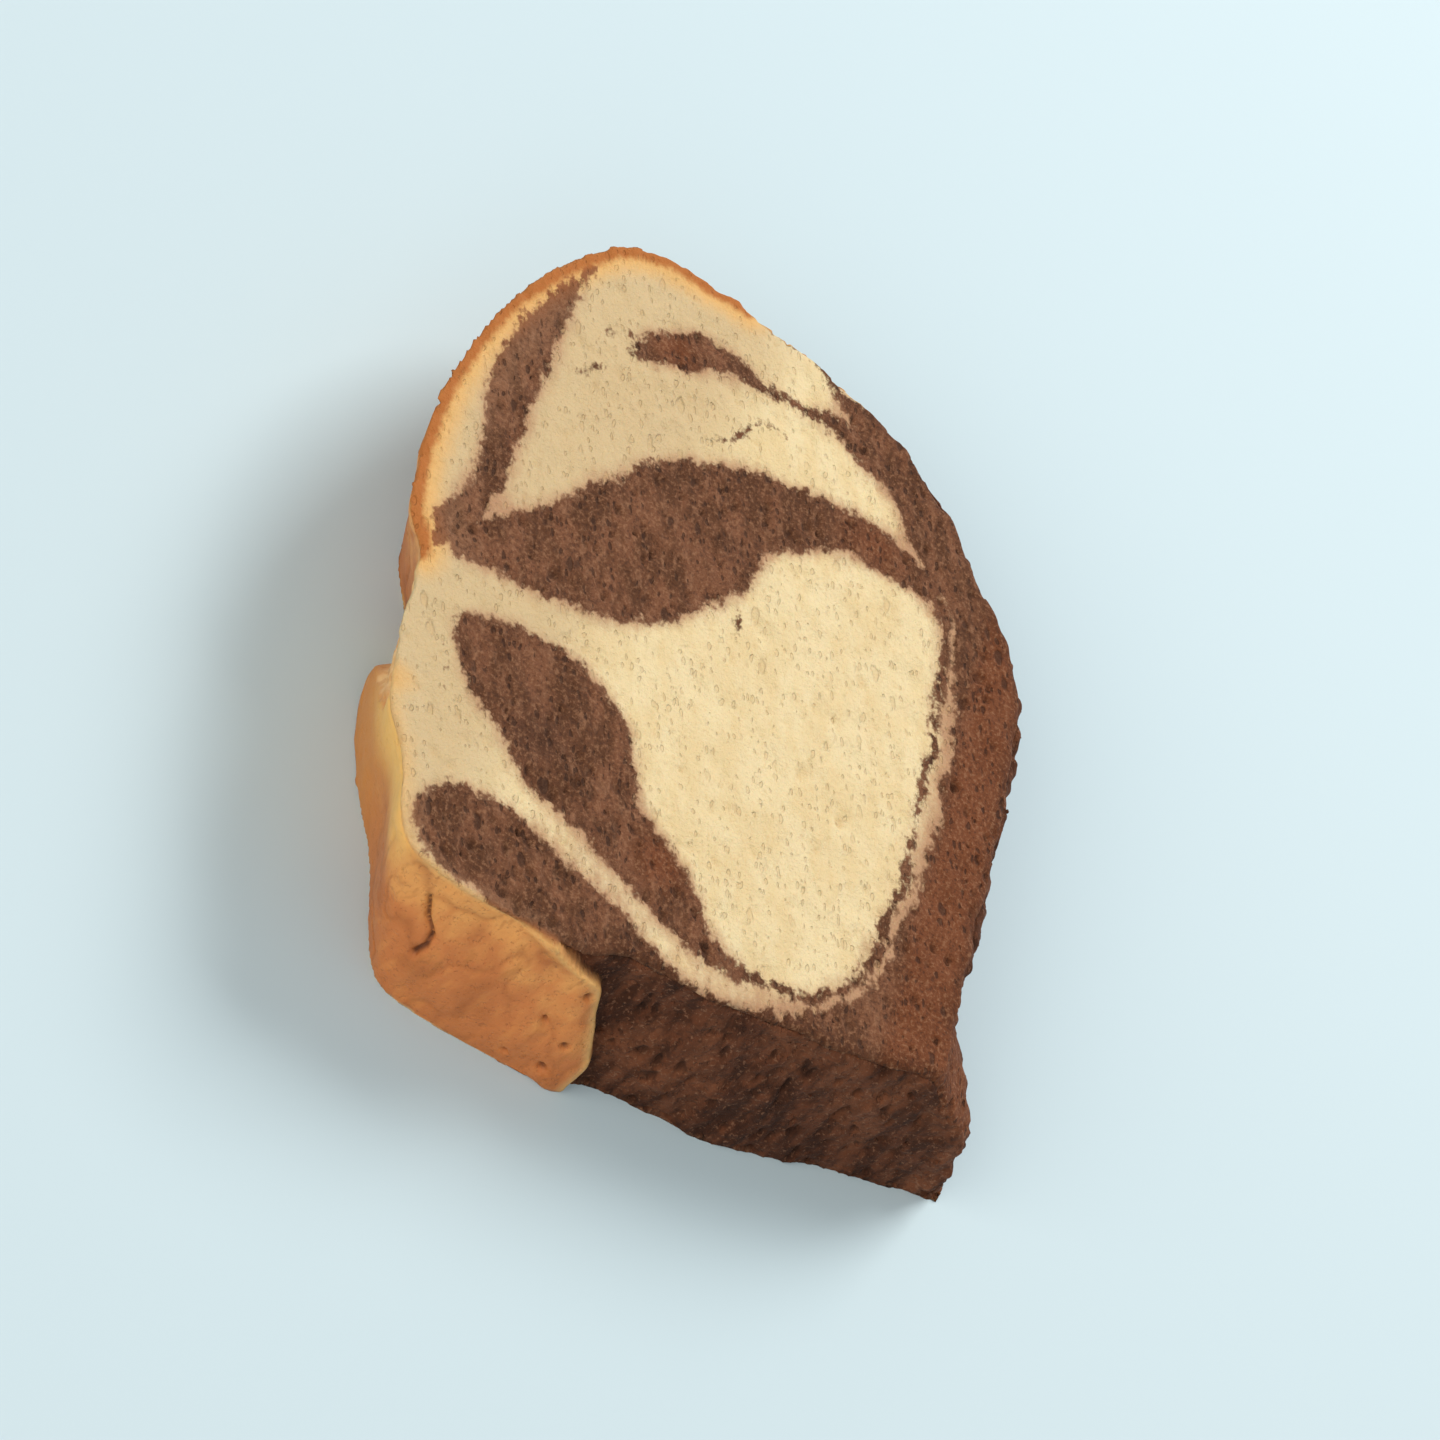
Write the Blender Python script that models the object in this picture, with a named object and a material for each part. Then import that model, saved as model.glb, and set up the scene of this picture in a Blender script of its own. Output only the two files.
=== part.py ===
"""One slice of a vanilla and chocolate marble sponge loaf, lying on its back cut face.

X runs across the slice, Y from the flat base of the loaf up to its domed crust, and Z out of
the cut face that shows. The origin is under the middle of the slice, on the surface it lies on.
"""

import math

import bmesh
import bpy
from mathutils import Vector, noise
from mathutils.geometry import delaunay_2d_cdt, interpolate_bezier

MM = 0.001

# Driving dimensions of the loaf's section, in millimetres
BASE_WIDTH = 44.0
HEIGHT = 68.0
SHOULDER_WIDTH = 77.0
THICKNESS = 17.0

# Where the section's turning points lie, X from the base's left corner and Y from the base
CROWN_X = 34.0
LEFT_OVERHANG = 7.5
RIGHT_OVERHANG = SHOULDER_WIDTH - BASE_WIDTH - LEFT_OVERHANG
LIP_LOW = 34.2
LIP_TOP = 56.0
RIGHT_SHOULDER_Y = 48.0
CRACK_X = 9.0
CRACK_Y = 63.8

# The cut is slanted, so the back of the slice lies lower on the loaf than the shown face
CUT_SLANT = 7.0

# Towards the back the left side widens, the crust sinks beside its crack, the left foot sags
SIDE_FLARE = 2.7
FLARE_LOW = 2.0
FLARE_FULL = 20.0
DENT_X = 26.0
DENT_HALF_WIDTH = 9.0
DENT_DEPTH = 2.8
FOOT_WIDTH = 13.0
FOOT_HEIGHT = 12.0
FOOT_FLARE = 5.0

# Fineness of the mesh and depth of the crumb
OUTLINE_STEP = 1.6
FACE_STEP = 1.7
SIDE_LAYERS = 8
BAND_STEPS = 24
CRUMB_GRAIN = 2.4
CRUMB_DEPTH = 0.34
SWELL_GRAIN = 15.0
SWELL_DEPTH = 0.45
WALL_GRAIN = 3.4
WALL_DEPTH = 0.55
CRUST_GRAIN = 6.5
CRUST_DEPTH = 0.42


def knots():
    """The section's corners and crests: place, direction of travel in degrees, handle lengths."""
    left = -LEFT_OVERHANG
    right = BASE_WIDTH + RIGHT_OVERHANG
    return (
        ((1.5, 0.3), -4, 4.0, 14.0),
        ((BASE_WIDTH - 2.0, 0.3), 4, 14.0, 4.0),
        ((BASE_WIDTH + 9.5, 7.0), 44, 5.0, 7.0),
        ((right - 2.4, 26.0), 76, 10.0, 8.0),
        ((right, RIGHT_SHOULDER_Y), 93, 9.0, 4.5),
        ((right - 6.5, 58.6), 146, 5.0, 6.0),
        ((CROWN_X + 9.0, HEIGHT - 0.8), 172, 9.0, 4.0),
        ((CROWN_X - 5.0, HEIGHT - 0.7), 186, 4.0, 5.0),
        ((CROWN_X - 13.0, 64.7), 186, 4.0, 5.0),
        ((CRACK_X, CRACK_Y), 188, 4.0, 3.0),
        ((left + 9.0, 60.4), 204, 4.0, 4.0),
        ((left + 0.5, LIP_TOP), 256, 3.0, 6.0),
        ((left, LIP_LOW + 5.0), 270, 6.0, 3.0),
        ((left + 1.9, LIP_LOW), 290, 2.0, 3.0),
        ((left + 3.4, 20.0), 280, 6.0, 6.0),
        ((-0.6, 3.0), 290, 5.0, 2.0),
    )


def outline():
    """Even points round the shown face, anticlockwise, in millimetres."""
    corners = knots()
    walk = []
    for (start, turn, _, ahead), (end, turn_end, behind, _) in zip(corners, corners[1:] + corners[:1]):
        start, end = Vector(start), Vector(end)
        leave = Vector((math.cos(math.radians(turn)), math.sin(math.radians(turn))))
        arrive = Vector((math.cos(math.radians(turn_end)), math.sin(math.radians(turn_end))))
        span = interpolate_bezier(start, start + leave * ahead, end - arrive * behind, end, BAND_STEPS)
        walk += [Vector(point[:2]) for point in span[:-1]]
    lengths = [(b - a).length for a, b in zip(walk, walk[1:] + walk[:1])]
    count = round(sum(lengths) / OUTLINE_STEP)
    even, travelled, target = [], 0.0, 0.0
    for point, ahead, length in zip(walk, walk[1:] + walk[:1], lengths):
        while target < travelled + length and len(even) < count:
            even.append(point.lerp(ahead, (target - travelled) / length))
            target += sum(lengths) / count
        travelled += length
    return even


def ease(low, high, value):
    """0 below low, 1 above high and a smooth step between them."""
    t = min(max((value - low) / (high - low), 0.0), 1.0)
    return t * t * (3 - 2 * t)


def shown_face(bm, rim):
    """The cut face inside the rim, as near-even triangles; returns its rim edges."""
    inside = []
    left, right = min(p.x for p in rim), max(p.x for p in rim)
    rows = int(HEIGHT / (FACE_STEP * math.sqrt(0.75)))
    for row in range(1, rows):
        y = row * HEIGHT / rows
        for column in range(int((right - left) / FACE_STEP)):
            x = left + (column + 0.5 * (row % 2)) * FACE_STEP
            here = Vector((x, y))
            if min((here - p).length for p in rim) > 0.75 * FACE_STEP:
                inside.append(here)
    loop = [(i, (i + 1) % len(rim)) for i in range(len(rim))]
    only_inside = 1
    points, _, faces, *_ = delaunay_2d_cdt(rim + inside, loop, [], only_inside, 1e-6)
    verts = [bm.verts.new((p.x, p.y, THICKNESS)) for p in points]
    for face in faces:
        bm.faces.new([verts[i] for i in face])
    bmesh.ops.delete(bm, geom=[v for v in verts if not v.link_faces], context="VERTS")
    return [e for e in bm.edges if e.is_boundary]


def drop_sides(bm, rim_edges):
    """The side wall and crust, layer by layer down to the back, and the flat back face."""
    ring = rim_edges
    for _ in range(SIDE_LAYERS):
        grown = bmesh.ops.extrude_edge_only(bm, edges=ring)["geom"]
        lower = [v for v in grown if isinstance(v, bmesh.types.BMVert)]
        bmesh.ops.translate(bm, verts=lower, vec=(0, 0, -THICKNESS / SIDE_LAYERS))
        ring = [e for e in grown if isinstance(e, bmesh.types.BMEdge) and e.is_boundary]
    bmesh.ops.contextual_create(bm, geom=ring)


def is_wall(x, y):
    """1 on the crumbly sides and base that stood in the tin, 0 on the smooth crust above."""
    left_lip = ease(LIP_LOW - 1.0, LIP_LOW + 1.0, y)
    right_lip = ease(RIGHT_SHOULDER_Y - 12.0, RIGHT_SHOULDER_Y - 4.0, y)
    return 1.0 - (left_lip if x < BASE_WIDTH / 2 else right_lip)


def shape_relief(bm):
    """Crumb on the cut face, rough walls, a wrinkled crust, the flare, slant, dent and foot."""
    bm.normal_update()
    outward = {v: v.normal.copy() for v in bm.verts}
    for v in bm.verts:
        x, y, z = v.co
        depth = 1.0 - z / THICKNESS
        place = Vector((x, y, z))
        side = Vector((outward[v].x, outward[v].y, 0.0))
        if depth < 1e-6:
            swell = noise.noise(place / SWELL_GRAIN) * SWELL_DEPTH
            pores = max(0.0, noise.noise(place / CRUMB_GRAIN) - 0.05)
            v.co.z += swell - pores * 2.2 * CRUMB_DEPTH
        if side.length > 0.2:
            side.normalize()
            wall = is_wall(x, y)
            rough = noise.noise(place / WALL_GRAIN) * WALL_DEPTH * wall
            wrinkle = noise.noise(place / CRUST_GRAIN) * CRUST_DEPTH * (1.0 - wall)
            v.co.xy += (side * (rough + wrinkle)).xy
        flared = ease(FLARE_LOW, FLARE_FULL, y) * (1.0 - ease(LIP_TOP - 2.0, LIP_TOP + 6.0, y))
        flared *= 1.0 - ease(-1.5, 4.0, x)
        v.co.x -= SIDE_FLARE * flared * ease(0.0, 0.8, depth)
        v.co.y -= CUT_SLANT * depth
        dent = 1.0 - ease(0.0, DENT_HALF_WIDTH, abs(x - DENT_X))
        v.co.y -= DENT_DEPTH * dent * depth * ease(HEIGHT - 14.0, HEIGHT - 7.0, y)
        foot = (1.0 - ease(2.0, FOOT_WIDTH, x)) * (1.0 - ease(0.0, FOOT_HEIGHT, y))
        v.co.y -= FOOT_FLARE * foot * ease(0.0, 0.4, depth)
        if depth > 1.0 - 1e-6:
            v.co.z = 0.0


def crumb_material():
    """Baked sponge: matt all over, its mean colour between the vanilla and the cocoa crumb."""
    material = bpy.data.materials.new("marble_sponge")
    material.use_nodes = True
    shader = material.node_tree.nodes["Principled BSDF"]
    shader.inputs["Base Color"].default_value = (0.36, 0.21, 0.11, 1.0)
    shader.inputs["Roughness"].default_value = 0.9
    shader.inputs["Metallic"].default_value = 0.0
    return material


def sponge_slice():
    """The slice as one closed solid, standing on the origin by the middle of its back."""
    bm = bmesh.new()
    drop_sides(bm, shown_face(bm, outline()))
    bmesh.ops.recalc_face_normals(bm, faces=bm.faces)
    shape_relief(bm)
    bmesh.ops.triangulate(bm, faces=bm.faces)
    xs = [v.co.x for v in bm.verts]
    ys = [v.co.y for v in bm.verts]
    middle = Vector(((min(xs) + max(xs)) / 2, (min(ys) + max(ys)) / 2, 0.0))
    bmesh.ops.translate(bm, verts=bm.verts, vec=-middle)
    bmesh.ops.scale(bm, verts=bm.verts, vec=(MM, MM, MM))
    mesh = bpy.data.meshes.new("sponge_slice")
    bm.to_mesh(mesh)
    bm.free()
    mesh.materials.append(crumb_material())
    mesh.shade_smooth()
    mesh.set_sharp_from_angle(angle=math.radians(50))
    slice_object = bpy.data.objects.new("sponge_slice", mesh)
    bpy.context.scene.collection.objects.link(slice_object)


for old in list(bpy.data.objects):
    bpy.data.objects.remove(old, do_unlink=True)
sponge_slice()
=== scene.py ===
import math
import random
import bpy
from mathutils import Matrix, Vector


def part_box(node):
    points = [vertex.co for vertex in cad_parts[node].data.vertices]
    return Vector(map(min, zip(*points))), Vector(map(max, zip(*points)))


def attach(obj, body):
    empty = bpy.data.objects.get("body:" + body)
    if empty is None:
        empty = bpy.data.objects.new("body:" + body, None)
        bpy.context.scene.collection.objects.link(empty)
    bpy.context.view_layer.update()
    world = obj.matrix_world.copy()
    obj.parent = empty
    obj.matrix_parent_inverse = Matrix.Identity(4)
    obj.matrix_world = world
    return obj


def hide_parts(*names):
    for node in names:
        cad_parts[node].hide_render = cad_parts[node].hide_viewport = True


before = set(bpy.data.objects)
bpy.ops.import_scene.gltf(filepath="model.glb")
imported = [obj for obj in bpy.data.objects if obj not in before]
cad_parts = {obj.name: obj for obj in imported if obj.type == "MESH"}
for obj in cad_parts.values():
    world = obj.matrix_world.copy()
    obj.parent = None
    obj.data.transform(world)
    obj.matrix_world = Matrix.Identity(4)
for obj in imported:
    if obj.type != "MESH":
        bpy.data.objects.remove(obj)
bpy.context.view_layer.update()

from types import SimpleNamespace

import bmesh
import bpy
import numpy as np
from mathutils import Matrix, Quaternion, Vector
from mathutils.kdtree import KDTree

MM = 0.001
NODE = "sponge_slice"
LOW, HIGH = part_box(NODE)

# From cut to cut, before the crumb's relief, in millimetres as all sizes below unless they say so
THICKNESS = 17.0

# The marbling is measured on the cut face in millimetres, X across the slice and Y towards the
# dome, from a point low in the pale heart. The cut is slanted: deeper crumb lies lower down.
# Depth is 0 at the shown face and 1 at the back. Pairs are where something starts and is full.
HEART_FROM_CORNER = (20.46, 28.98)
HEART_LOW = Vector((LOW.x / MM + HEART_FROM_CORNER[0], LOW.y / MM + HEART_FROM_CORNER[1]))
CUT_SLANT = 7.0
FACE_MIDDLE_X = 20.0
LEFT_SIDE_X = (-4.0, 0.0)

# The lip's lower edge hangs lower behind, lifts again at the very back and is round in front
LIP_LOW = 19.0
LIP_HANG = 2.5
LIP_BACK_LIFT = 2.2
LIP_FRONT_LIFT = 4.4
LIP_STEP = 0.7
LIP_STEP_REACH = 7.0
LIP_SWELL = 0.9
LIP_SWELL_FADE = (1.0, 5.0)

# The left shoulder is rounded, and its crust rises beside the split
SHOULDER_Y = (33.0, 41.0)
SHOULDER_FADE_X = (-2.0, 7.0)
SHOULDER_FADE_DEPTH = (0.2, 0.5)
SHOULDER_LEVELS = 4
SHOULDER_TURNS = 50
SHOULDER_RISE = 1.8
SHOULDER_RISE_X = (-4.0, 6.0)
HIGH_CRUST_Y = (38.0, 42.0)

# The dome is a little flatter than the solid's, and crust turns to torn crumb on the right flank
DOME_SHAVE = 1.1
DOME_SHAVE_X = 35.0
DOME_SHAVE_REACH = 7.0
RIGHT_CRUST_LOW = 28.0
RIGHT_CRUST_FADE = 3.5

# Where the loaf tore open in the oven: pale crumb between the browned lip and dome. The split
# runs askew, so its left edge lies further right behind.
SPLIT_FROM = -2.0
SPLIT_SLANT = 10.0
SPLIT_TO = 13.0
SPLIT_LOW = 42.0

# A short crack across the lip's skin and pits at its lower end: section Y, height Z and reach
LIP_CRACK = ((36.6, 7.2), (35.6, 8.8), (35.3, 10.4), (36.2, 11.6), (36.6, 13.4))
LIP_CRACK_REACH = 0.5
LIP_PITS = ((21.4, 2.6, 0.8), (20.1, 6.4, 0.6), (22.6, 8.2, 0.5), (19.6, 12.4, 0.6), (25.5, 2.2, 0.5))
LIP_MARK_DEPTH = 0.8

# The cut crust is a mere line on the lip and widens above it; the lip's hem is paler
THIN_SKIN_Y = (37.0, 40.0)
HEM_MIDDLE = 0.4
HEM_REACH = 0.9

# The knife's way across the face, along which it dragged the crumb
KNIFE_WAY = (0.95, 0.31)

# Places in the section where the cocoa bakes redder (above 0) or stays darker: X, Y, reach, tone
COCOA_TONES = (
    (-4.3, 16.2, 4.2, 1.0), (1.2, 31.2, 5.0, -0.8), (-13.0, 33.0, 6.0, -0.3),
    (49.5, 29.5, 4.0, 0.8), (41.5, 4.0, 6.0, 0.7), (31.5, 18.5, 3.0, -0.5),
)
RED_BASE_HIGH = -8.0
RED_BASE_LOW = -12.0

# How far the batters' border wanders, how soft it is and how far cocoa bleeds into vanilla
BORDER_WANDER = 0.5
BORDER_WANDER_GRAIN = 4.0
BORDER_SOFTNESS = 0.3
BLEED_REACH = 1.6

# Fineness of the crumb's mesh, how much of it stays where it lies flat or outside, and its margin
# inside the solid's box. The solid's own points are merged within a thousandth of a millimetre.
MERGE_DISTANCE = 1e-6
VOXEL = 0.32
SMOOTHING_TURNS = 7
BACK_KEEP = 0.04
SIDE_KEEP = 0.66
THINNING_PULL = 1000.0
BOX_MARGIN = 0.03

# The net of places on which the cocoa is worked out, and the widest gap that the finish looks at
FIELD_STEP = 0.25
FIELD_LOW = np.array((-42.0, -40.0))
FIELD_SIZE = (460, 384)
FAR_FROM_COCOA = -50.0
FARTHEST_GAP = 12.0

# Loose crumbs that cling to the torn sides
CRUMB_COUNT = 420
CRUMB_SMALLEST = 0.22
CRUMB_LARGEST = 0.75
CRUMB_SEED = 7
CRUMB_FLOOR_GAP = 1.2

# The camera stands where the photograph's did, seen from the slice's middle, with a longer lens.
# Angles are in degrees, and distances of the camera and lights in metres.
CAMERA_AZIMUTH = -119.22
CAMERA_ELEVATION = 47.32
CAMERA_DISTANCE = 0.4813
CAMERA_ROLL = 53.17
CAMERA_AIM = Vector((0.0, 0.0, 0.009))
CAMERA_LENS = 128.0
CAMERA_NEAREST = 0.01

# The room's even light, and softboxes: azimuth, elevation, distance, size, watts and tint
ROOM_TINT = "#F5F5F3"
ROOM_STRENGTH = 0.41
SOFTBOXES = {
    "key": (62, 42, 1.0, 0.5, 9.2, "#FFF6EC"),
    "fill": (-105, 32, 1.2, 0.8, 3.4, "#FFF6EA"),
    "far_fill": (-148, 34, 1.2, 0.8, 6.2, "#FFF3E2"),
}
FLOOR_REACH = 3.0

# Cocoa batter as brush strokes over the vanilla: X, Y and half the stroke's width
COCOA_STROKES = {
    "ring": (
        (16.0, 43.3, 2.6), (17.6, 40.0, 3.0), (20.3, 34.6, 5.2), (25.3, 27.6, 7.6),
        (31.4, 22.6, 7.0), (36.0, 18.5, 5.0), (39.0, 13.6, 3.5), (40.6, 8.0, 2.5),
        (41.2, 3.0, 2.1), (40.9, -0.8, 1.8), (39.4, -3.9, 0.9), (36.0, -5.9, 0.7),
        (30.0, -7.0, 0.6), (20.0, -7.5, 0.5), (10.0, -7.9, 0.5), (3.0, -7.6, 0.6),
        (-3.0, -6.2, 0.6), (-7.6, -3.4, 0.6), (-9.9, 0.6, 0.6), (-10.4, 5.0, 0.8),
        (-9.7, 9.6, 1.3), (-7.2, 14.0, 2.6), (-5.0, 18.4, 3.7), (-2.0, 23.4, 4.3),
        (3.0, 28.8, 6.7), (5.0, 33.0, 5.8), (6.1, 37.2, 4.0), (7.2, 40.9, 1.6),
    ),
    "rim": (
        (-12.2, 35.5, 4.6), (-12.9, 30.0, 4.9), (-15.0, 24.4, 5.2), (-17.2, 18.4, 5.2),
        (-18.8, 11.0, 5.0), (-18.0, 1.0, 5.2), (-14.6, -6.0, 6.0), (-8.6, -12.0, 6.2),
        (0.0, -15.2, 6.7), (10.0, -15.8, 6.2), (16.0, -16.2, 6.2), (24.0, -15.5, 6.3),
        (32.0, -14.2, 5.9), (39.0, -11.3, 5.2), (46.0, -5.0, 5.0), (51.6, 2.0, 3.8),
        (54.0, 7.2, 2.0), (56.4, 11.6, 0.7), (58.2, 16.0, 0.2), (59.0, 22.0, 0.0),
    ),
    "base": (
        (-20.0, -14.0, 6.0), (-10.0, -21.0, 6.5), (8.0, -24.0, 6.5), (30.0, -24.0, 6.5),
        (46.0, -17.0, 6.5),
    ),
    "right_streak": (
        (45.9, 33.3, 0.5), (48.4, 30.9, 1.8), (50.6, 27.6, 2.0), (51.6, 23.8, 1.4),
        (51.6, 19.5, 0.8), (51.9, 15.0, 0.7), (51.8, 11.0, 1.2), (51.3, 7.0, 1.7),
        (50.4, 3.0, 2.2),
    ),
    "under_crust": (
        (14.6, 46.2, 0.9), (16.6, 45.3, 2.0), (19.5, 44.6, 1.9), (24.0, 43.5, 1.5),
        (29.0, 43.7, 1.8), (34.0, 43.9, 2.4), (39.0, 43.6, 2.4), (44.0, 42.9, 1.8),
        (49.0, 41.5, 1.0), (53.5, 39.3, 0.3),
    ),
    "fleck_a": ((40.6, 38.9, -0.2), (41.6, 37.2, 0.3), (43.6, 35.6, -0.1)),
    "fleck_b": ((44.2, 38.6, -0.3), (45.9, 36.9, 0.3), (47.6, 35.0, 0.0), (48.0, 33.2, 0.0)),
    "fleck_c": ((22.2, 14.7, -0.2), (24.2, 15.6, 0.3), (25.9, 15.9, -0.2)),
    "fleck_d": ((42.4, 23.4, -0.1), (43.8, 21.3, 0.3), (46.6, 19.3, 0.0), (47.6, 16.5, -0.3)),
    "crease": ((-7.0, 39.9, -0.3), (-2.0, 40.5, -0.2), (2.2, 41.7, -0.1), (5.0, 42.6, -0.2)),
}
STROKE_STEPS = 8

# What scrambles whole numbers into random-looking ones
CELL_PRIMES = (73856093, 19349663, 83492791)
SALT_PRIME = 2654435761
SCRAMBLES = ((16, 0x45D9F3B), (15, 0x2C1B3C6D), (16, 0x45D9F3B))
LOW_32_BITS = 0xFFFFFFFF


def ease(low, high, value):
    """0 below low, 1 above high and a smooth step between them, for numbers and arrays."""
    t = np.clip((value - low) / (high - low), 0.0, 1.0)
    return t * t * (3 - 2 * t)


def lattice_random(cells, salt):
    """A repeatable number from 0 to 1 for each whole-number cell. Each pattern has its own salt."""
    x, y, z = (cells[..., axis] * prime for axis, prime in enumerate(CELL_PRIMES))
    mixed = (x ^ y ^ z ^ (salt * SALT_PRIME)) & LOW_32_BITS
    for shift, factor in SCRAMBLES:
        mixed = ((mixed ^ (mixed >> shift)) * factor) & LOW_32_BITS
    return mixed / (LOW_32_BITS + 1.0)


def grain(points, size, salt):
    """Smooth random relief from -1 to 1 whose bumps are about this size, in the points' unit."""
    place = points / size
    cell = np.floor(place).astype(np.int64)
    part = place - cell
    part = part * part * (3 - 2 * part)
    total = np.zeros(len(points))
    for corner in np.ndindex(2, 2, 2):
        weight = np.prod(np.where(corner, part, 1 - part), axis=1)
        total += weight * lattice_random(cell + np.array(corner), salt)
    return total * 2 - 1


def pores(points, spacing, widest, share, salt):
    """Round air holes: 1 at a hole's middle, 0 outside; this share of the cells hold one."""
    place = points / spacing
    cell = np.floor(place).astype(np.int64)
    deepest = np.zeros(len(points))
    for step in np.ndindex(3, 3, 3):
        near = cell + np.array(step) - 1
        middle = near + np.stack([lattice_random(near, salt + i) for i in range(3)], axis=1)
        radius = widest / spacing * (0.4 + 0.6 * lattice_random(near, salt + 3))
        away = np.linalg.norm(place - middle, axis=1)
        there = lattice_random(near, salt + 4) < share
        deepest = np.maximum(deepest, there * np.clip(1 - (away / radius) ** 2, 0, 1))
    return deepest


def ruffled(points, size, amount, salt):
    """The points shifted at random, so that round patterns on them come out ragged."""
    shift = [grain(points, size, salt + i) for i in range(3)]
    return points + amount * np.stack(shift, axis=1)


def along_knife(points, shorter):
    """The points turned so that X is the knife's way, squeezed along it to draw patterns out."""
    cos, sin = KNIFE_WAY
    turned = points.copy()
    turned[:, 0] = (points[:, 0] * cos + points[:, 1] * sin) * shorter
    turned[:, 1] = points[:, 1] * cos - points[:, 0] * sin
    return turned


def smooth_route(knots):
    """A stroke's knots joined by a smooth curve that passes through each of them."""
    knots = np.array(knots, float)
    padded = np.vstack([2 * knots[0] - knots[1], knots, 2 * knots[-1] - knots[-2]])
    route = []
    for before, start, end, after in zip(padded, padded[1:], padded[2:], padded[3:]):
        for t in np.arange(STROKE_STEPS) / STROKE_STEPS:
            route.append(0.5 * (2 * start + (end - before) * t
                                + (2 * before - 5 * start + 4 * end - after) * t * t
                                + (3 * start - before - 3 * end + after) * t ** 3))
    return np.array(route + [knots[-1]])


def cocoa_field():
    """How far inside the cocoa the loaf's section is, in millimetres, on an even net of places."""
    axes = [low + FIELD_STEP * np.arange(size) for low, size in zip(FIELD_LOW, FIELD_SIZE)]
    flat = np.stack(np.meshgrid(*axes, indexing="ij"), axis=-1).reshape(-1, 2)
    best = np.full(len(flat), FAR_FROM_COCOA)
    for knots in COCOA_STROKES.values():
        route = smooth_route(knots)
        for start, end in zip(route, route[1:]):
            run = end[:2] - start[:2]
            t = np.clip((flat - start[:2]) @ run / (run @ run), 0, 1)
            nearest = start[:2] + t[:, None] * run
            width = start[2] + t * (end[2] - start[2])
            best = np.maximum(best, width - np.linalg.norm(flat - nearest, axis=1))
    return best.reshape(FIELD_SIZE)


def softened(field, reach):
    """The field averaged over this reach in millimetres."""
    half = int(3 * reach / FIELD_STEP)
    kernel = np.exp(-0.5 * (np.arange(-half, half + 1) * FIELD_STEP / reach) ** 2)
    kernel /= kernel.sum()
    for axis in (0, 1):
        field = np.apply_along_axis(np.convolve, axis, field, kernel, mode="same")
    return field


def sampled(field, flat):
    """The field's value at each point of the section."""
    place = np.clip((flat - FIELD_LOW) / FIELD_STEP, 0, np.array(FIELD_SIZE) - 1.001)
    cell = place.astype(int)
    x, y = (place - cell).T
    i, j = cell.T
    near = field[i, j] * (1 - x) + field[i + 1, j] * x
    far = field[i, j + 1] * (1 - x) + field[i + 1, j + 1] * x
    return near * (1 - y) + far * y


def new_piece(name, mesh):
    piece = bpy.data.objects.new(name, mesh)
    bpy.context.scene.collection.objects.link(piece)
    return piece


def add_softening(piece, turns):
    """A modifier that evens the mesh out, this many times over."""
    soften = piece.modifiers.new("soften", "SMOOTH")
    soften.factor = 0.5
    soften.iterations = turns
    return soften


def apply_modifiers(piece):
    """Makes what the modifiers do part of the piece's mesh, under the same name."""
    evaluated = piece.evaluated_get(bpy.context.evaluated_depsgraph_get())
    mesh = bpy.data.meshes.new_from_object(evaluated)
    mesh.name = piece.name
    piece.data = mesh
    piece.modifiers.clear()
    piece.vertex_groups.clear()


def vertex_array(mesh, what):
    values = np.empty(len(mesh.vertices) * 3)
    mesh.vertices.foreach_get(what, values)
    return values.reshape(-1, 3)


def keep_readings(mesh, readings):
    """Stores what the finish reads at each vertex."""
    for name, values in readings.items():
        layer = mesh.attributes.new(name, "FLOAT", "POINT")
        layer.data.foreach_set("value", np.asarray(values, np.float32))


def reading(mesh, name):
    values = np.empty(len(mesh.vertices), np.float32)
    mesh.attributes[name].data.foreach_get("value", values)
    return values


def fine_slice():
    """The CAD slice as one even, soft-edged mesh, fine enough to carve the crumb into."""
    bm = bmesh.new()
    bm.from_mesh(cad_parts[NODE].data)
    bmesh.ops.remove_doubles(bm, verts=bm.verts, dist=MERGE_DISTANCE)
    mesh = bpy.data.meshes.new("marble_slice")
    bm.to_mesh(mesh)
    bm.free()
    piece = new_piece("marble_slice", mesh)
    remesh = piece.modifiers.new("even", "REMESH")
    remesh.mode = "VOXEL"
    remesh.voxel_size = VOXEL * MM
    add_softening(piece, SMOOTHING_TURNS)
    apply_modifiers(piece)
    return piece


def round_shoulder(piece):
    """Left of the split the cut face turns over into the crust without a sharp edge."""
    flat, depth = section_places(vertex_array(piece.data, "co") / MM)
    weight = ease(*SHOULDER_Y, flat[:, 1]) * (1 - ease(*SHOULDER_FADE_X, flat[:, 0]))
    weight = weight * (1 - ease(*SHOULDER_FADE_DEPTH, depth))
    group = piece.vertex_groups.new(name="shoulder")
    for step in range(1, SHOULDER_LEVELS + 1):
        level = step / SHOULDER_LEVELS
        rows = np.flatnonzero(np.abs(weight - level) <= 0.5 / SHOULDER_LEVELS)
        group.add([int(row) for row in rows], level, "REPLACE")
    add_softening(piece, SHOULDER_TURNS).vertex_group = group.name
    apply_modifiers(piece)


def section_places(co):
    """Where each point lies in the loaf's section, the slanted cut undone, and its depth 0 to 1."""
    depth = np.clip(1 - co[:, 2] / THICKNESS, 0, 1)
    flat = co[:, :2] - np.array(HEART_LOW)
    flat[:, 1] += CUT_SLANT * depth
    return flat, depth


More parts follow.
